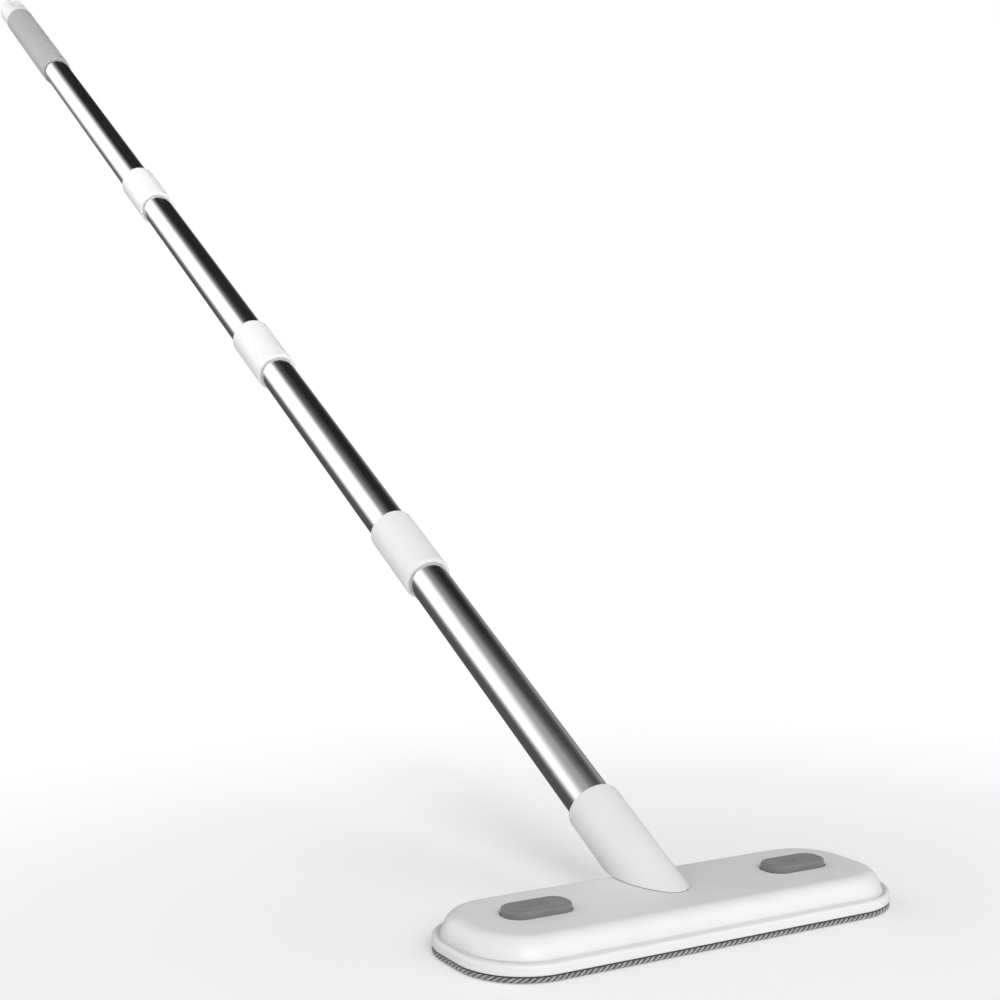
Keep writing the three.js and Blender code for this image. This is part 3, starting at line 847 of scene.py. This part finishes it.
def make_collar(number, finish):
    """A screw connector: a sleeve over both tube ends, threaded in the middle."""
    radius, start, end = span(f"collar_{number}", 1.5 * MM, 1.9 * MM)
    bore = span(f"tube_{number}")[0] + GAP
    mouth = bore - MOUTH_TIGHTER
    low, high = start + COLLAR_SLEEVE + 1.8 * MM, end - COLLAR_SLEEVE
    corners = [
        (radius, start, 1.5 * MM),
        (radius, end, 1.75 * MM),
        (mouth, end, 0.15 * MM),
        (mouth, end - MM, 0),
        (bore, end - 1.2 * MM, 0),
        (bore, high, 0),
        (THREAD_BORE, high, 0),
        (THREAD_BORE, low, 0),
        (bore, low, 0),
        (bore, start + 1.2 * MM, 0),
        (mouth, start + MM, 0),
        (mouth, start, 0.15 * MM),
    ]
    skin = Skin()
    skin.turned(softened(corners, True), closed=True)
    piece = make_piece(f"connector_{number}", skin, [finish], POLE)
    stand_in(piece, f"collar_{number}", "pole")


def make_grip(finish):
    radius, start, end = span("grip_sleeve", GRIP_ROUND, GRIP_ROUND)
    bore = span("tube_4")[0] + GAP
    mouth = bore - MOUTH_TIGHTER
    corners = [
        (radius, start, 1.1 * MM),
        (radius, end, 0.8 * MM),
        (bore, end, 0.2 * MM),
        (bore, start + 1.2 * MM, 0),
        (mouth, start + MM, 0),
        (mouth, start, 0.15 * MM),
    ]
    skin = Skin()
    skin.turned(softened(corners, True), closed=True)
    piece = make_piece("hand_grip", skin, [finish], POLE)
    stand_in(piece, "grip_sleeve", "pole")


def cap_body(radius, start, end):
    """The end cap without its hole: a plug in the tube under a round-ended head."""
    plug, low = CAP_PLUG_RADIUS, start - CAP_PLUG_DEPTH
    corners = [
        (0, low, 0),
        (plug, low, 0.8 * MM),
        (plug, start, 0),
        (radius, start, 0.8 * MM),
        (radius, end - radius, 0),
    ]
    profile = softened(corners, False)
    turns = [math.pi / 2 * step / DOME_STEPS for step in range(1, DOME_STEPS)]
    dome = [(radius * math.cos(a), end - radius * (1 - math.sin(a))) for a in turns]
    skin = Skin()
    skin.turned(list(map(tuple, profile)) + dome + [(0, end)])
    return make_piece("hanging_cap", skin, [], POLE)


def hole_cutter():
    start, end, half = HANG_HOLE
    shape = outline(half, (end - start) / 2, half, 12)
    middle = (start + end) / 2
    skin = Skin()
    skin.capped([[(x, y, middle + z) for x, z in shape] for y in (-30 * MM, 30 * MM)])
    return make_piece("hole_cutter", skin, [], POLE)


def make_cap(finish):
    """The end cap, with its hanging hole cut through and every edge melted round."""
    radius, start, _ = span("end_cap")
    start = span("grip_sleeve", GRIP_ROUND, GRIP_ROUND)[2] + GAP
    end = (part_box("end_cap")[1].y - FOOT.y - radius) / ALONG.y + radius
    piece = cap_body(radius, start, end)
    cutter = hole_cutter()
    cut = piece.modifiers.new("hole", "BOOLEAN")
    cut.object = cutter
    cut.operation = "DIFFERENCE"
    cut.solver = "EXACT"
    melt = piece.modifiers.new("melt", "REMESH")
    melt.mode = "VOXEL"
    melt.voxel_size = 0.55 * MM
    soft = piece.modifiers.new("soft", "SMOOTH")
    soft.factor = 0.5
    soft.iterations = 4
    solved = piece.evaluated_get(bpy.context.evaluated_depsgraph_get())
    shaped = bpy.data.meshes.new_from_object(solved)
    piece.modifiers.clear()
    piece.data = shaped
    shaped.materials.clear()
    shaped.materials.append(finish)
    shaped.shade_smooth()
    bpy.data.objects.remove(cutter)
    stand_in(piece, "end_cap", "pole")


# Inner pieces that keep their shape ----------------------------------------------------
def refinish(nodes, finish):
    for name in nodes:
        materials = frame["nodes"][name].data.materials
        materials.clear()
        materials.append(finish)


# Studio --------------------------------------------------------------------------------
def make_floor():
    """A pale floor that fades into the white surround far from the mop."""
    finish = Finish("pale_floor", {"Roughness": 0.85, "Specular IOR Level": 0.1})
    finish.shader.inputs["Emission Strength"].default_value = 1
    own = finish.node("ShaderNodeTexCoord", output="Object")
    away = finish.node("ShaderNodeVectorMath", {"operation": "LENGTH"}, {0: own}, "Value")
    far = finish.ranged(away, 0.1, 0.62)
    glow = finish.colours(far, (0, grey(0.2)), (1, grey(1.0)))
    finish.vary(base_color=finish.colours(far, (0, grey(0.8)), (1, grey(0.0))))
    finish.feed(glow, finish.shader.inputs["Emission Color"])
    skin = Skin()
    angles = [step * math.pi / 24 for step in range(48)]
    rings = [
        [(r * math.cos(a), r * math.sin(a), FLOOR_LEVEL) for a in angles] for r in FLOOR_RADII
    ]
    made = skin.loft(rings)
    skin.fill(made[0])
    floor = make_piece("floor", skin, [finish.material])
    floor.visible_glossy = False


def cap_of_sky(sky, direction, centre, inner, outer):
    """1 within inner degrees of a direction, and 0 beyond outer degrees."""
    facing = sky.node(
        "ShaderNodeVectorMath",
        {"operation": "DOT_PRODUCT"},
        {0: direction, 1: Vector(centre).normalized()},
        "Value",
    )
    return sky.ranged(facing, math.cos(math.radians(outer)), math.cos(math.radians(inner)))


def make_surround():
    """A white surround, with a bright window and a dark flag for the steel to show."""
    world = bpy.data.worlds.new("surround")
    bpy.context.scene.world = world
    world.use_nodes = True
    sky = Nodes(world.node_tree)
    direction = sky.node("ShaderNodeTexCoord", output="Generated")
    parts = sky.node("ShaderNodeSeparateXYZ", inputs={0: direction}, output="Z")
    window = cap_of_sky(sky, direction, (-0.50, 0.72, 0.48), 14, 34)
    flag = cap_of_sky(sky, direction, (0.295, 0.609, 0.737), 18, 44)
    behind = cap_of_sky(sky, direction, (0, 1, 0), 50, 75)
    horizon = behind * (1 - sky.ranged(parts, -0.04, 0.30))
    light = (0.5 + window * 1.5) * (1 - flag * 0.97) * (1 - horizon * 0.8)
    seen = sky.node("ShaderNodeLightPath", output="Is Camera Ray")
    background = world.node_tree.nodes["Background"]
    background.inputs["Color"].default_value = (1, 1, 1, 1)
    sky.feed(seen + (1 - seen) * light, background.inputs["Strength"])


def make_light(name, place, aim, size, power, spread=180):
    lamp = bpy.data.lights.new(name, "AREA")
    lamp.shape = "DISK"
    lamp.size = size
    lamp.energy = power
    lamp.spread = math.radians(spread)
    light = bpy.data.objects.new(name, lamp)
    bpy.context.scene.collection.objects.link(light)
    light.location = place
    light.rotation_euler = (Vector(aim) - Vector(place)).to_track_quat("-Z", "Y").to_euler()


def make_camera():
    lens = bpy.data.cameras.new("camera")
    lens.lens = 60.76
    lens.sensor_width = 36
    lens.shift_x = -0.0009
    lens.shift_y = -0.0055
    camera = bpy.data.objects.new("camera", lens)
    bpy.context.scene.collection.objects.link(camera)
    camera.location = (-0.47067, -0.64684, 0.24678)
    camera.rotation_euler = (math.radians(87.07), 0, math.radians(-30.23))
    bpy.context.scene.camera = camera


def make_studio():
    bpy.context.scene.view_settings.view_transform = "Standard"
    make_floor()
    make_surround()
    make_light("key", (-0.6, -2.2, 1.3), (0, 0.1, 0), 1.4, 32)
    make_light("fill", (1.6, -1.6, 1.8), (0, 0.4, 0.2), 2.0, 14)
    make_light("pole", (-0.6, -0.55, 1.75), (0, 0.78, 0.6), 0.6, 1.6, 50)
    make_camera()


# Assembly ------------------------------------------------------------------------------
def make_head():
    white = moulded_plastic("white_plastic", 0.8, 0.36, 0.012 * MM)
    black = moulded_plastic("black_plastic", 0.035, 0.45, 0.03 * MM)
    plated = plated_steel()
    pad = rubber_pad()
    make_cover(white)
    make_lip_plate(white)
    for side, sign in (("left", -1), ("right", 1)):
        make_press_pad(side, sign, pad)
        make_spring(side, plated)
    refinish(["chassis_plate"], white)
    refinish(["latch_left", "latch_right"], black)
    refinish([f"cover_screw_{number}" for number in range(1, 7)], plated)


def make_pad():
    make_pile(yarn("pile_yarn", (0.30, 0.28, 0.25), (0.62, 0.59, 0.54)))
    tape = woven_cloth("binding_tape", (0.03, 0.03, 0.03), (0.14, 0.135, 0.13), 0.8 * MM)
    pale = yarn("pale_yarn", (0.24, 0.225, 0.20), (0.62, 0.60, 0.56))
    dark = yarn("dark_yarn", (0.04, 0.04, 0.038), (0.18, 0.175, 0.165))
    make_binding([tape, pale, dark])
    make_backing(woven_cloth("backing_weave", (0.03, 0.03, 0.033), (0.11, 0.11, 0.12), 1.0 * MM))
    hooks = woven_cloth("hook_tape", (0.012, 0.012, 0.014), (0.06, 0.06, 0.065), 0.9 * MM)
    refinish([f"hook_strip_{name}" for name in ("front", "middle", "rear")], hooks)


def make_pole():
    white = moulded_plastic("pole_plastic", 0.8, 0.4, 0.014 * MM)
    black = moulded_plastic("plug_plastic", 0.035, 0.45, 0.03 * MM)
    steel = polished_tube()
    make_foot(white)
    for number in range(1, 5):
        make_tube(number, steel)
    for number in range(1, 4):
        make_collar(number, white)
    make_grip(grip_rubber())
    make_cap(white)
    refinish([f"threaded_plug_{number}" for number in range(1, 4)], black)
    refinish(["swivel_washer", "swivel_retainer"], black)
    refinish(["swivel_screw"], plated_steel())


make_head()
make_pad()
make_pole()
make_studio()
